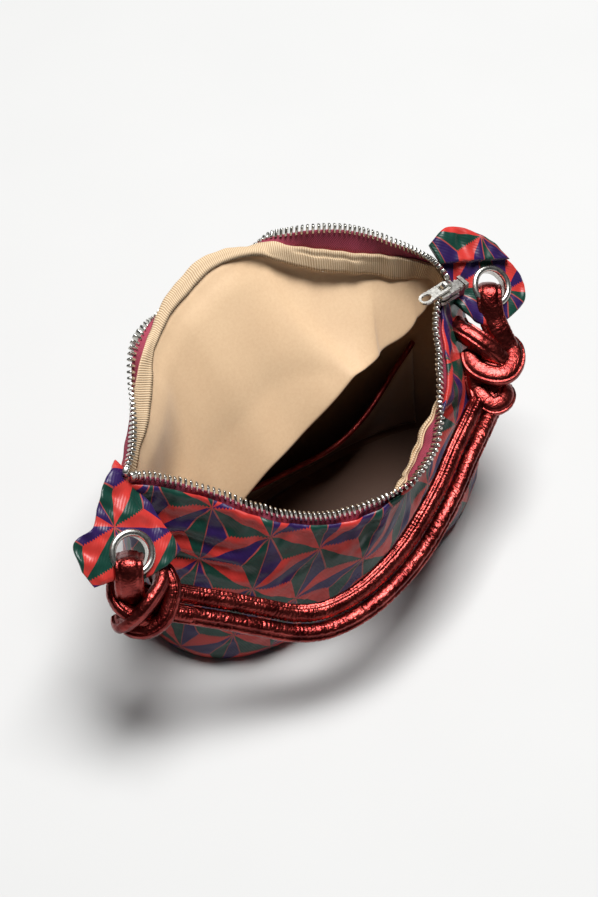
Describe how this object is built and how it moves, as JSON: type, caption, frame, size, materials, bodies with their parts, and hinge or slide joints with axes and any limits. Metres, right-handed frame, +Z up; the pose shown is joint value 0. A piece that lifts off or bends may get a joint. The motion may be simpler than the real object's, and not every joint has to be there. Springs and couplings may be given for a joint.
{
  "type": "shoulder bag",
  "caption": "Small open shoulder bag in red, green and purple star jacquard, with a metal zip, satin lining, eyelets and a knotted red metallic leather strap.",
  "frame": {"origin": "on the underside of the base, below the middle of the line between the zip's two ends", "axes": "+X along the zip towards the slider, +Y towards the back, +Z up"},
  "size_m": [0.272, 0.1512, 0.1576],
  "materials": {
    "jacquard": "satin jacquard with a hemp-leaf star pattern",
    "lining": "tan satin",
    "binding": "ribbed grosgrain",
    "zip_tape": "herringbone woven tape",
    "nickel": "bright nickel plate",
    "metallic_leather": "crinkled metallic foil leather"
  },
  "bodies": {
    "bag": {"front_panel": "jacquard", "back_panel": "jacquard", "base_panel": "jacquard", "front_lining": "lining", "back_lining": "lining", "base_lining": "lining", "pocket_panel": "lining", "pocket_piping": "metallic_leather", "front_binding": "binding", "back_binding": "binding", "front_zip_tape": "zip_tape", "back_zip_tape": "zip_tape", "front_zip_teeth": "nickel", "back_zip_teeth": "nickel", "front_top_stop": "nickel", "back_top_stop": "nickel", "closed_zip_chain": "nickel", "bottom_stop": "nickel", "left_tape_tail": "zip_tape", "right_tape_tail": "zip_tape"},
    "left_tab": {"left_wing": "jacquard", "left_eyelet": "nickel", "left_eyelet_washer": "nickel"},
    "right_tab": {"right_wing": "jacquard", "right_eyelet": "nickel", "right_eyelet_washer": "nickel"},
    "strap": {"strap_inner_strand": "metallic_leather", "strap_outer_strand": "metallic_leather", "left_knot": "metallic_leather", "right_knot": "metallic_leather"},
    "slider": {"zip_slider": "nickel"},
    "pull": {"zip_pull": "nickel"}
  },
  "joints": [
    {"name": "left_wing_fold", "type": "hinge", "parent": "bag", "child": "left_tab", "pos_m": [-0.117, 0, 0.118], "axis": [-1, 0, 0], "range_deg": [0, 100]},
    {"name": "right_wing_fold", "type": "hinge", "parent": "bag", "child": "right_tab", "pos_m": [0.117, 0, 0.118], "axis": [-1, 0, 0], "range_deg": [0, 100]},
    {"name": "strap_swing", "type": "hinge", "parent": "left_tab", "child": "strap", "pos_m": [-0.117, -0.0237, 0.1], "axis": [-0.9959, -0.083, -0.0357], "range_deg": [0, 25]},
    {"name": "slider_slide", "type": "slide", "parent": "bag", "child": "slider", "axis": [1, 0, 0], "range_m": [0, 0.004]},
    {"name": "pull_flip", "type": "hinge", "parent": "slider", "child": "pull", "pos_m": [0.09, 0, 0.1224], "axis": [0, 1, 0], "range_deg": [0, 165]}
  ],
  "couplings": [
    {"joint": "right_wing_fold", "follows": "left_wing_fold", "ratio": 1}
  ]
}
